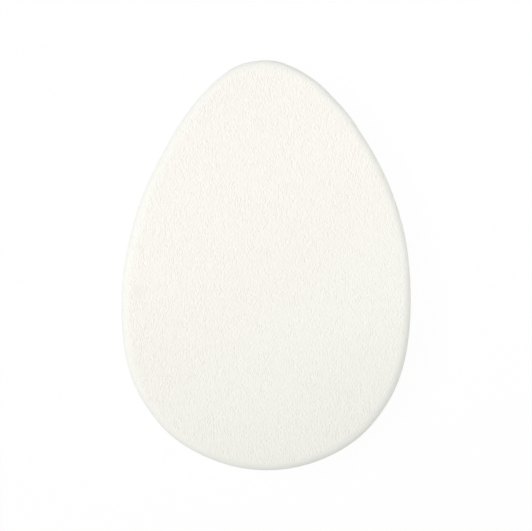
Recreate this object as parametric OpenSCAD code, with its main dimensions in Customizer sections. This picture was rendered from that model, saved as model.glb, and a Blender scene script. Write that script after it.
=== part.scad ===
// Flat egg-shaped makeup sponge: one pad of fine-cell foam, cut from a slab and buffed
// round along the edge of each face. It lies on its lower face, with its narrow end
// towards +Y. The origin is under the middle of the pad, on the surface that it lies on.
// Sizes are in millimetres.

/* [Pad] */
// Length from the broad end to the narrow end
pad_length = 72; // [66:1:80]
// Greatest width
pad_width = 51; // [46:1:56]
// Thickness of the foam
pad_thickness = 8; // [5:0.5:12]

/* [Outline] */
// Height of the widest line above the broad end
widest_at = 29.2; // [27:0.2:32]
// Radius of the narrow end
tip_r = 13; // [10:0.5:15]

/* [Buffed edges] */
// Radius of the edge round the upper face
upper_edge_r = 1.5; // [0.5:0.1:2.2]
// Radius of the edge round the lower face
lower_edge_r = 1.5; // [0.5:0.1:2.2]

/* [Hidden] */
// How far a shape runs past the surface that cuts it, or that it cuts
overrun = 1;
// How far each half of the flank turns past the flank's middle, in degrees
overturn = 2;
$fn = 96;

half_width = pad_width / 2;
tip_y = pad_length - tip_r;

// The flank is one arc, centred on the widest line. It is tangent to the narrow end's
// arc, which gives its radius, and to the broad end's arc, which gives that one's radius.
rise = tip_y - widest_at;
flank_r = (rise * rise + half_width * half_width - tip_r * tip_r) / (2 * (half_width - tip_r));
flank_x = half_width - flank_r;
broad_r = (2 * flank_r * half_width - half_width * half_width - widest_at * widest_at)
    / (2 * (flank_r - widest_at));

// Directions from the flank's centre to the two points where its arc meets the others,
// then to the middle of its arc, and the turn from there to either point
broad_join = atan2(broad_r - widest_at, -flank_x);
tip_join = atan2(tip_y - widest_at, -flank_x);
flank_middle = (tip_join + broad_join) / 2;
flank_turn = (tip_join - broad_join) / 2;

// The flank reaches in past the long axis, which is never farther than half the width
flank_depth = half_width + overrun;

// What is cut away to round one corner of the section, with the rounding's centre at
// the origin and the corner itself at [r, r]
module corner_waste(r) {
    difference() {
        square(r + overrun);
        circle(r);
    }
}

// Section through the edge of a round pad of radius r whose axis is x = 0, from depth
// inside the outline out to the outline
module edge_section(r, depth) {
    difference() {
        translate([r - depth, 0])
            square([depth, pad_thickness]);
        translate([r - upper_edge_r, pad_thickness - upper_edge_r])
            corner_waste(upper_edge_r);
        translate([r - lower_edge_r, lower_edge_r])
            mirror([0, 1])
                corner_waste(lower_edge_r);
    }
}

// Slice of such a pad. It turns from the plane y = 0, where the outline passes through
// the origin, so slices of any radius meet there face to face.
module slice(r, depth, turn) {
    translate([-r, 0, 0])
        rotate_extrude(angle = turn)
            edge_section(r, depth);
}

// Half of the flank, whose centre is the origin and whose middle lies along +X, and half
// of a round pad of radius end_r beyond it. Both start where their arcs meet.
module half_flank_and_end(end_r) {
    rotate(flank_turn)
        translate([flank_r, 0, 0]) {
            mirror([0, 1, 0])
                slice(flank_r, flank_depth, flank_turn + overturn);
            slice(end_r, end_r, 180);
        }
}

// Everything on the right of the long axis, with the broad end on the line y = 0
module right_half() {
    intersection() {
        translate([flank_x, widest_at, 0])
            rotate(flank_middle) {
                half_flank_and_end(tip_r);
                mirror([0, 1, 0])
                    half_flank_and_end(broad_r);
            }
        translate([0, -overrun, 0])
            cube([pad_width, pad_length + 2 * overrun, pad_thickness]);
    }
}

module foam_pad() {
    color("ivory")
        translate([0, -pad_length / 2, 0]) {
            right_half();
            mirror([1, 0, 0])
                right_half();
        }
}

foam_pad();
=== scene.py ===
import math

import bmesh
import bpy
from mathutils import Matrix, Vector, noise
from mathutils.bvhtree import BVHTree
from mathutils.kdtree import KDTree


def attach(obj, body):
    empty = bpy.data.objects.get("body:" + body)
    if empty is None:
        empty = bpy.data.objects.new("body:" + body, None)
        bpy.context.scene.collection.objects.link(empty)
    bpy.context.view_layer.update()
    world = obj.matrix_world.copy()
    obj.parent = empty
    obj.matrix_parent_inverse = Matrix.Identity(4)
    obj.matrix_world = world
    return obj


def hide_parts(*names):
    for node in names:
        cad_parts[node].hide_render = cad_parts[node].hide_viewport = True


# A flat egg-shaped makeup sponge: one pad of ivory fine-cell foam, lying on a pale floor.
# Lengths are in metres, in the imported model's own frame.
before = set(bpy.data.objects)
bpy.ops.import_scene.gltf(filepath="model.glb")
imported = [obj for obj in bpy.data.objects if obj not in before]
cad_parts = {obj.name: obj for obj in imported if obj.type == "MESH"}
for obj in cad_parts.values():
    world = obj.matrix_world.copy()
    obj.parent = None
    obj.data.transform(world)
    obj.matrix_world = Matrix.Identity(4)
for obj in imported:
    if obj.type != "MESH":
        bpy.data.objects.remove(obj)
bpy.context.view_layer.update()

MM = 0.001
# Points nearer to each other than this count as one
HAIR = 0.001 * MM

# Camera: straight above the pad, with its narrow end up. PIXEL is how much of the pad's
# outline one pixel of the picture shows, and RIM_HEIGHT is how high that outline lies.
IMAGE_WIDTH = 532
PIXEL = 0.17556 * MM
LENS_MM = 120
SENSOR_MM = 36
RIM_HEIGHT = 6.5 * MM

# Foam mesh: its faces are half a voxel wide
VOXEL = 0.40 * MM
SMOOTHING_PASSES = 4
SMOOTHING = 0.5

# Hand buffing rounds the upper edge more on one side than on the other: how many times the
# packed radius, by direction in degrees clockwise from the narrow end. The rounding reaches
# in from the outline by that radius, with a little to spare.
EDGE_RADIUS = 1.5 * MM
EDGE_REACH = 1.01 * EDGE_RADIUS
EDGE_BUFFING = (
    (-180, 1.25), (-135, 1.15), (-90, 1.2), (-45, 1.25), (0, 1.1),
    (45, 1.0), (90, 0.85), (135, 1.15), (180, 1.25),
)
# Where the buffed finish fades into the cut grain, as depths in from the outline. The outline
# is where the normal points up or down by less than the UPRIGHT share.
BUFFED_FADE = (0.4 * MM, 1.7 * MM)
UPRIGHT = 0.2

# The hand-guided cut: how far the outline wanders to the right, in millimetres, and by what
# share it is wider, each by place along the pad in millimetres
SWAY = (
    (-36, 0.15), (-28, 0.0), (-18, -0.08), (-6, 0.0), (8, 0.31),
    (18, 0.36), (26, 0.225), (31, -0.01), (36, -0.4),
)
GIRTH = (
    (-36, 0.0), (-31, 0.017), (-25, 0.002), (-14, -0.003), (12, -0.0015),
    (20, -0.006), (28, 0.006), (31, -0.002), (36, -0.08),
)
# How far the narrow end reaches out, by place across the pad, and where along the pad that
# fades in, all in millimetres
TIP_RISE = (
    (-13, 0.02), (-9, -0.01), (-5, 0.1), (-2, 0.03), (2.5, 0.11), (8, 0.03), (13, 0.04),
)
TIP_FADE = (26, 33)

# The foam's open cells and the lumps between them. The blade draws the cells out along the
# pad. A cell's pit is deepest at its middle and ends within PIT_SLOPE, as shares of the
# cell's size, and CELL_PICK spreads the noise that gives each cell its own depth.
CELL = 0.55 * MM
CELL_DEPTH = 0.012 * MM
CELL_DRAWN_OUT = 0.6
PIT_SLOPE = (0.1, 0.6)
CELL_PICK = 7.3
LUMP = 0.9 * MM
LUMP_HEIGHT = 0.004 * MM
# Both are deeper on the wall than on the cut faces and the buffed edges. The wall turns into
# the edges between two steepnesses, shares of the normal that point up or down, and into the
# upper edge between two heights as well, where its ivory also turns into the edge's.
WALL_RELIEF = 3.5
WALL_ENDS = (0.15, 0.6)
WALL_TURN = (4.5 * MM, 6.3 * MM)
# The slow rise and fall of the upper face, as the slab gives under the blade
SWELL = 16 * MM
SWELL_HEIGHT = 0.15 * MM

# The fine grain's bump: grains to a metre, how far the blade draws the cut grain out along
# the pad, as a scale, and how strong the buffed grain is beside the cut one
CUT_GRAIN = 5700
GRAIN_DRAWN_OUT = 0.37
BUFFED_GRAIN = 4800
BUFFED_SHARE = 0.55
GRAIN_HEIGHT = 0.12 * MM

# Painted shade in the pores and a painted highlight on the lip beside each, offset along the
# pad's width as side light would fall: pores to a metre, and how far the lip lies beside its
# pore. The foam is darkest where the pores' noise lies below the lip's by PORE_DROP's first
# value, and palest at its second.
PORE_GRAIN = 5500
LIT_LIP_OFFSET = 0.17 * MM
PORE_DROP = (-0.4, 0.1)
# The patches where the painted pore shade and lip highlight are strong: patches to a metre, the
# noise values between which they grow from weak to strong, and how strong the weak ones are
PATCHES = 600
PATCH_DETAIL = 2
PATCH_EDGES = (0.35, 0.65)
WEAK_PATCH = 0.4
# How strong the painted pore shade and lip highlight stay on the upper edge, where buffing
# closes most of the pores
BUFFED_PAINTED_PORES = 0.3

# Colours. The shades multiply the others.
IVORY = (0.914, 0.888, 0.833, 1)
PALE_IVORY = (0.919, 0.895, 0.843, 1)
# The buffed edge's ivory: partly the smooth foam's own cooler tone, partly a painted reflection
# of the white surroundings, and made a little darker as painted shade
BUFFED_IVORY_WITH_PAINTED_LIGHT = (0.888, 0.891, 0.841, 1)
WALL_IVORY = (0.908, 0.890, 0.842, 1)
# Painted shade in the pores and a painted highlight on their lips
PAINTED_PORE_SHADE = (0.85, 0.85, 0.85, 1)
PAINTED_LIP_HIGHLIGHT = (1.037, 1.037, 1.037, 1)
COOL_SHADE = (1.0, 1.024, 1.016, 1)
MARK_IVORY = (0.865, 0.830, 0.755, 1)
WHITE = (1, 1, 1, 1)
FLOOR_GREY = (0.9, 0.9, 0.9, 1)
FOAM_ROUGHNESS = 0.9
FOAM_GLOSS = 0.2

# The slow change between the two ivories: spots to a metre
MOTTLE = 110
MOTTLE_DETAIL = 3

# Where the foam's colour turns from warm to cool: the start, the way across and its length
TURN_START = Vector((2.1, -2.8, 0)) * MM
TURN_WAY = math.radians(-52.7)
TURN_LENGTH = 12 * MM

# A faint rub mark on the upper face, near the left rim: its middle and its half sizes
MARK_PLACE = Vector((-22.4, -4.5, 8.0)) * MM
MARK_SIZE = Vector((1.9, 2.1, 1.0)) * MM
MARK_STRENGTH = 0.55

# Lamps: how far the soft ones stand from the pad, and the spot lamps' height and radius
LAMP_DISTANCE = 0.8
TOP_HEIGHT = 0.6
TOP_RADIUS = 0.06

# How bright a white surface shows in the surroundings' light alone, and how much of the
# floor shows as plain white, so that the rest of it keeps the pad's shadow
SURROUND_LEVEL = 0.5
FLOOR_WHITE = 0.95
FLOOR_HALF_WIDTH = 3


def smoothstep(low, high, value):
    """0 below low, 1 above high, and an even S between them."""
    share = min(max((value - low) / (high - low), 0), 1)
    return share * share * (3 - 2 * share)


def between(points, at):
    """The value at a place, on a smooth line through (place, value) points."""
    for (low, low_value), (high, high_value) in zip(points, points[1:]):
        if at <= high:
            break
    return low_value + (high_value - low_value) * smoothstep(low, high, at)


def add_object(name, data):
    """A new object of the scene, with its data."""
    thing = bpy.data.objects.new(name, data)
    bpy.context.scene.collection.objects.link(thing)
    return thing


def apply_modifiers(piece):
    """Gives the piece the mesh that its modifiers make, and takes them off."""
    graph = bpy.context.evaluated_depsgraph_get()
    shown = bpy.data.meshes.new_from_object(piece.evaluated_get(graph))
    piece.modifiers.clear()
    piece.data = shown


def flat_tree(places):
    """A tree that finds the nearest of the places as seen from above."""
    tree = KDTree(len(places))
    for number, place in enumerate(places):
        tree.insert((place.x, place.y, 0), number)
    tree.balance()
    return tree


def packed_shell():
    """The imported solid's own surface, with its points joined."""
    shell = bmesh.new()
    shell.from_mesh(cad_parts["foam_pad"].data)
    bmesh.ops.remove_doubles(shell, verts=shell.verts, dist=HAIR)
    return shell


def buff_edge(shell):
    """Rounds the upper edge unevenly: scales its rounding about the sharp corner outside."""
    top = max(vertex.co.z for vertex in shell.verts)
    wall_top = top - EDGE_RADIUS
    ring = [vertex.co for vertex in shell.verts if abs(vertex.co.z - wall_top) < HAIR]
    outline = flat_tree(ring)
    for vertex in shell.verts:
        x, y, z = vertex.co
        near, _, depth = outline.find((x, y, 0))
        if z > wall_top - HAIR and depth < EDGE_REACH:
            corner = Vector((near.x, near.y, top))
            share = between(EDGE_BUFFING, math.degrees(math.atan2(x, y)))
            vertex.co = corner + (vertex.co - corner) * share


def even_faces(shell):
    """A piece with small, even faces on the shell's surface, lightly smoothed."""
    mesh = bpy.data.meshes.new("sponge_pad")
    shell.to_mesh(mesh)
    piece = add_object("sponge_pad", mesh)
    even = piece.modifiers.new("even_faces", "REMESH")
    even.mode = "VOXEL"
    even.voxel_size = VOXEL
    finer = piece.modifiers.new("finer_faces", "SUBSURF")
    finer.levels = finer.render_levels = 1
    apply_modifiers(piece)
    surface = BVHTree.FromBMesh(shell)
    for vertex in piece.data.vertices:
        vertex.co = surface.find_nearest(vertex.co)[0]
    soft = bmesh.new()
    soft.from_mesh(piece.data)
    for _ in range(SMOOTHING_PASSES):
        bmesh.ops.smooth_vert(
            soft, verts=soft.verts, factor=SMOOTHING,
            use_axis_x=True, use_axis_y=True, use_axis_z=True,
        )
    soft.to_mesh(piece.data)
    soft.free()
    for face in piece.data.polygons:
        face.use_smooth = True
    return piece


def note_buffing(piece):
    """Keeps, for every point, how far its surface is buffed: all the way on the wall."""
    mesh = piece.data
    wall = [vertex.co for vertex in mesh.vertices if abs(vertex.normal.z) < UPRIGHT]
    outline = flat_tree(wall)
    buffed = mesh.attributes.new("buffed", "FLOAT", "POINT")
    for vertex in mesh.vertices:
        depth = outline.find((vertex.co.x, vertex.co.y, 0))[2]
        buffed.data[vertex.index].value = 1 - smoothstep(*BUFFED_FADE, depth)


def wander(piece):
    """Lets the outline wander as a hand-guided cut does."""
    for vertex in piece.data.vertices:
        across, along = vertex.co.x / MM, vertex.co.y / MM
        vertex.co.y += between(TIP_RISE, across) * MM * smoothstep(*TIP_FADE, along)
        vertex.co.x += between(SWAY, along) * MM + vertex.co.x * between(GIRTH, along)
    piece.data.update()


def lumps(place, size):
    """A smooth noise from about 0 to 1, with lumps of a size."""
    return 0.5 + 0.5 * noise.noise(place / size)


def cell_depth(place):
    """How far the foam lies below its cut, from its open cells and lumps."""
    drawn = Vector((place.x, place.y * CELL_DRAWN_OUT, place.z))
    near, middles = noise.voronoi(drawn / CELL)
    own = noise.cell(middles[0] * CELL_PICK)
    pit = (1 - smoothstep(*PIT_SLOPE, near[0])) * own * own
    return CELL_DEPTH * pit + LUMP_HEIGHT * lumps(place, LUMP)


def open_cells(piece):
    """Presses the foam's open cells into the pad, and the slow fall into its upper face."""
    mesh = piece.data
    normals = [vertex.normal.copy() for vertex in mesh.vertices]
    for vertex, normal in zip(mesh.vertices, normals):
        wall = 1 - smoothstep(*WALL_ENDS, abs(normal.z))
        below = 1 - smoothstep(*WALL_TURN, vertex.co.z)
        depth = cell_depth(vertex.co) * (1 + (WALL_RELIEF - 1) * wall * below)
        fall = SWELL_HEIGHT * lumps(vertex.co, SWELL) * max(normal.z, 0)
        vertex.co -= normal * (depth + fall)
    mesh.update()


def add_node(tree, kind, values=(), **settings):
    """A node with its settings and its named or numbered input values."""
    node = tree.nodes.new(kind)
    for name, value in settings.items():
        setattr(node, name, value)
    for name, value in dict(values).items():
        node.inputs[name].default_value = value
    return node


def join(tree, source, target):
    """Links an output to an input."""
    tree.links.new(source, target)


def maths(tree, operation, first, second):
    """The output of a Math node. first and second are outputs or numbers."""
    node = add_node(tree, "ShaderNodeMath", operation=operation)
    for slot, value in zip(node.inputs, (first, second)):
        if isinstance(value, (int, float)):
            slot.default_value = value
        else:
            join(tree, value, slot)
    return node.outputs[0]


def blend_colour(tree, share, first, second, blend="MIX"):
    """The output of a colour mix from first to second. Each is an output or a colour."""
    node = add_node(tree, "ShaderNodeMix", data_type="RGBA", blend_type=blend)
    join(tree, share, node.inputs["Factor"])
    for slot, value in ((node.inputs[6], first), (node.inputs[7], second)):
        if isinstance(value, tuple):
            slot.default_value = value
        else:
            join(tree, value, slot)
    return node.outputs[2]


def noise_on(tree, place, scale, detail=0):
    """The output of a noise on a place output, with so many of its grains to a metre."""
    node = add_node(tree, "ShaderNodeTexNoise", {"Scale": scale, "Detail": detail})
    join(tree, place, node.inputs["Vector"])
    return node.outputs["Fac"]


def spread_out(tree, value, low, high, lowest=0, highest=1):
    """The output of a Map Range: lowest at low and below, highest at high and above."""
    values = {"From Min": low, "From Max": high, "To Min": lowest, "To Max": highest}
    node = add_node(tree, "ShaderNodeMapRange", values)
    join(tree, value, node.inputs["Value"])
    return node.outputs["Result"]


def moved(tree, place, values, kind="POINT"):
    """The output of a Mapping node on a place output."""
    node = add_node(tree, "ShaderNodeMapping", values, vector_type=kind)
    join(tree, place, node.inputs["Vector"])
    return node.outputs["Vector"]


def gradient_in(tree, place, kind, box):
    """The output of a gradient in a box of the given Location, Scale and Rotation."""
    node = add_node(tree, "ShaderNodeTexGradient", gradient_type=kind)
    join(tree, moved(tree, place, box, "TEXTURE"), node.inputs["Vector"])
    return node.outputs["Fac"]


def grain_bump(tree, place, drawn, buffed):
    """The output of a bump: the drawn-out cut grain, and an even one where it is buffed."""
    cut_share = maths(tree, "SUBTRACT", 1, buffed)
    cut = maths(tree, "MULTIPLY", noise_on(tree, drawn, CUT_GRAIN), cut_share)
    rubbed_share = maths(tree, "MULTIPLY", buffed, BUFFED_SHARE)
    rubbed = maths(tree, "MULTIPLY", noise_on(tree, place, BUFFED_GRAIN), rubbed_share)
    bump = add_node(tree, "ShaderNodeBump", {"Distance": GRAIN_HEIGHT})
    join(tree, maths(tree, "ADD", cut, rubbed), bump.inputs["Height"])
    return bump.outputs["Normal"]


def painted_pore_light(tree, drawn):
    """The output of painted light: painted shade in each pore and a painted highlight on the lip
    beside it, offset along the pad's width as side light would fall.
    """
    pores = noise_on(tree, drawn, PORE_GRAIN)
    lips = noise_on(tree, moved(tree, drawn, {"Location": (LIT_LIP_OFFSET, 0, 0)}), PORE_GRAIN)
    lit_share = spread_out(tree, maths(tree, "SUBTRACT", pores, lips), *PORE_DROP)
    return blend_colour(tree, lit_share, PAINTED_PORE_SHADE, PAINTED_LIP_HIGHLIGHT)


def foam_colour(tree, place, drawn, buffed):
    """The output of the foam's colour, with painted shade and highlight in its pores and partly
    painted light on the buffed edge.
    """
    # Warm ivory on the faces, which turns cooler towards the lower right
    mottle = noise_on(tree, place, MOTTLE, MOTTLE_DETAIL)
    colour = blend_colour(tree, mottle, IVORY, PALE_IVORY)
    across = {"Location": TURN_START, "Rotation": (0, 0, TURN_WAY), "Scale": (TURN_LENGTH, 1, 1)}
    turn = gradient_in(tree, place, "LINEAR", across)
    colour = blend_colour(tree, turn, colour, COOL_SHADE, "MULTIPLY")

    # The wall, and the buffed upper edge above it, whose ivory is partly its own cooler tone and
    # partly painted reflection and painted shade
    height = add_node(tree, "ShaderNodeSeparateXYZ")
    join(tree, place, height.inputs["Vector"])
    edge = spread_out(tree, height.outputs["Z"], *WALL_TURN)
    rim = blend_colour(tree, edge, WALL_IVORY, BUFFED_IVORY_WITH_PAINTED_LIGHT)
    colour = blend_colour(tree, buffed, colour, rim)

    # Painted shade in the pores and painted highlight on their lips, strong in patches and
    # mostly gone on the upper edge, where the pores are closed
    patches = noise_on(tree, place, PATCHES, PATCH_DETAIL)
    patches = spread_out(tree, patches, *PATCH_EDGES, WEAK_PATCH, 1)
    buffed_edge = maths(tree, "MULTIPLY", buffed, edge)
    left_open = spread_out(tree, buffed_edge, 0, 1, 1, BUFFED_PAINTED_PORES)
    strength = maths(tree, "MULTIPLY", patches, left_open)
    colour = blend_colour(tree, strength, colour, painted_pore_light(tree, drawn), "MULTIPLY")

    # The rub mark
    spot = gradient_in(tree, place, "SPHERICAL", {"Location": MARK_PLACE, "Scale": MARK_SIZE})
    mark = maths(tree, "MULTIPLY", spot, MARK_STRENGTH)
    return blend_colour(tree, mark, colour, MARK_IVORY)


def foam_material():
    """Matte ivory foam, with a cut grain on both faces and a buffed edge."""
    material = bpy.data.materials.new("ivory_foam")
    material.use_nodes = True
    tree = material.node_tree
    shader = tree.nodes["Principled BSDF"]
    shader.inputs["Roughness"].default_value = FOAM_ROUGHNESS
    shader.inputs["Specular IOR Level"].default_value = FOAM_GLOSS
    place = add_node(tree, "ShaderNodeTexCoord").outputs["Object"]
    buffed = add_node(tree, "ShaderNodeAttribute", attribute_name="buffed").outputs["Fac"]
    drawn = moved(tree, place, {"Scale": (1, GRAIN_DRAWN_OUT, 1)})
    join(tree, grain_bump(tree, place, drawn, buffed), shader.inputs["Normal"])
    join(tree, foam_colour(tree, place, drawn, buffed), shader.inputs["Base Color"])
    return material


def towards(azimuth, elevation):
    """The way to a lamp: degrees clockwise from the narrow end, and up from the floor."""
    a, e = math.radians(azimuth), math.radians(elevation)
    return Vector((math.sin(a) * math.cos(e), math.cos(a) * math.cos(e), math.sin(e)))


def soft_lamp(name, level, direction, width, height):
    """An area lamp that faces the pad. level is how bright it alone would show white."""
    data = bpy.data.lights.new(name, "AREA")
    data.shape = "RECTANGLE"
    data.size, data.size_y = width, height
    # White that faces the lamp shows the lamp's energy / (pi * distance) ** 2
    data.energy = level * math.pi ** 2 * LAMP_DISTANCE ** 2
    lamp = add_object(name, data)
    lamp.location = direction * LAMP_DISTANCE
    lamp.rotation_euler = direction.to_track_quat("Z", "Y").to_euler()
    lamp.visible_camera = False


def top_lamp(name, level, x, y, spread):
    """A soft spot lamp that looks straight down and fades out over its spread in degrees.
    level is how bright it alone would show white, right under it."""
    data = bpy.data.lights.new(name, "SPOT")
    # A spot lamp counts its energy as if it shone all round, so white shows a quarter
    data.energy = level * 4 * math.pi ** 2 * TOP_HEIGHT ** 2
    data.shadow_soft_size = TOP_RADIUS
    data.spot_size = math.radians(spread)
    data.spot_blend = 1
    add_object(name, data).location = (x, y, TOP_HEIGHT)


def lights():
    """Plain soft studio light, from the left, a little from the right, and from above, where
    it fades towards the broad end."""
    soft_lamp("key", level=0.387, direction=towards(-87, 53), width=0.38, height=0.38)
    soft_lamp("fill", level=0.102, direction=towards(105, 16), width=0.40, height=0.20)
    top_lamp("top_left", level=0.307, x=-0.0447, y=0.0016, spread=13.6)
    top_lamp("top_right", level=0.334, x=0.06, y=0.0457, spread=18.9)


def seen_directly(tree):
    """An output that is 1 where the camera, a gloss or clear glass looks, and 0 for light."""
    path = add_node(tree, "ShaderNodeLightPath").outputs
    glossy = maths(tree, "MAXIMUM", path["Is Camera Ray"], path["Is Glossy Ray"])
    return maths(tree, "MAXIMUM", glossy, path["Is Transmission Ray"])


def show_in_sight(tree, end, lit, shown, share):
    """Ends a tree in a node of the end kind. Light meets the lit shader alone. The camera
    sees the shown one by a share, and the lit one by the rest."""
    mix = add_node(tree, "ShaderNodeMixShader")
    join(tree, maths(tree, "MULTIPLY", seen_directly(tree), share), mix.inputs[0])
    join(tree, lit.outputs[0], mix.inputs[1])
    join(tree, shown.outputs[0], mix.inputs[2])
    join(tree, mix.outputs[0], add_node(tree, end).inputs["Surface"])


def surroundings():
    """Soft light from all round, which shows plain white where it is looked at."""
    world = bpy.data.worlds.new("studio")
    bpy.context.scene.world = world
    world.use_nodes = True
    tree = world.node_tree
    tree.nodes.clear()
    soft = {"Color": WHITE, "Strength": SURROUND_LEVEL}
    lit = add_node(tree, "ShaderNodeBackground", soft)
    shown = add_node(tree, "ShaderNodeBackground", {"Color": WHITE, "Strength": 1})
    show_in_sight(tree, "ShaderNodeOutputWorld", lit, shown, 1)


def floor():
    """A plain pale floor under the pad. It shows nearly white, and keeps a soft shadow."""
    sheet = bmesh.new()
    bmesh.ops.create_grid(sheet, x_segments=1, y_segments=1, size=FLOOR_HALF_WIDTH)
    mesh = bpy.data.meshes.new("floor")
    sheet.to_mesh(mesh)
    sheet.free()
    add_object("floor", mesh)
    material = bpy.data.materials.new("pale_floor")
    material.use_nodes = True
    tree = material.node_tree
    tree.nodes.clear()
    lit = add_node(tree, "ShaderNodeBsdfDiffuse", {"Color": FLOOR_GREY})
    shown = add_node(tree, "ShaderNodeEmission", {"Color": WHITE, "Strength": 1})
    show_in_sight(tree, "ShaderNodeOutputMaterial", lit, shown, FLOOR_WHITE)
    mesh.materials.append(material)


def camera():
    """Looks straight down, with +Y up in the picture."""
    data = bpy.data.cameras.new("camera")
    data.lens = LENS_MM
    data.sensor_width = SENSOR_MM
    data.clip_start = 0.01
    data.clip_end = 10
    eye = add_object("camera", data)
    eye.location = (0, 0, RIM_HEIGHT + IMAGE_WIDTH * PIXEL * LENS_MM / SENSOR_MM)
    bpy.context.scene.camera = eye


def sponge():
    """The whole sponge is one pad of foam."""
    shell = packed_shell()
    buff_edge(shell)
    pad = even_faces(shell)
    shell.free()
    note_buffing(pad)
    wander(pad)
    open_cells(pad)
    pad.data.materials.append(foam_material())
    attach(pad, "root")
    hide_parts("foam_pad")


camera()
sponge()
lights()
surroundings()
floor()
bpy.context.scene.view_settings.view_transform = "Standard"
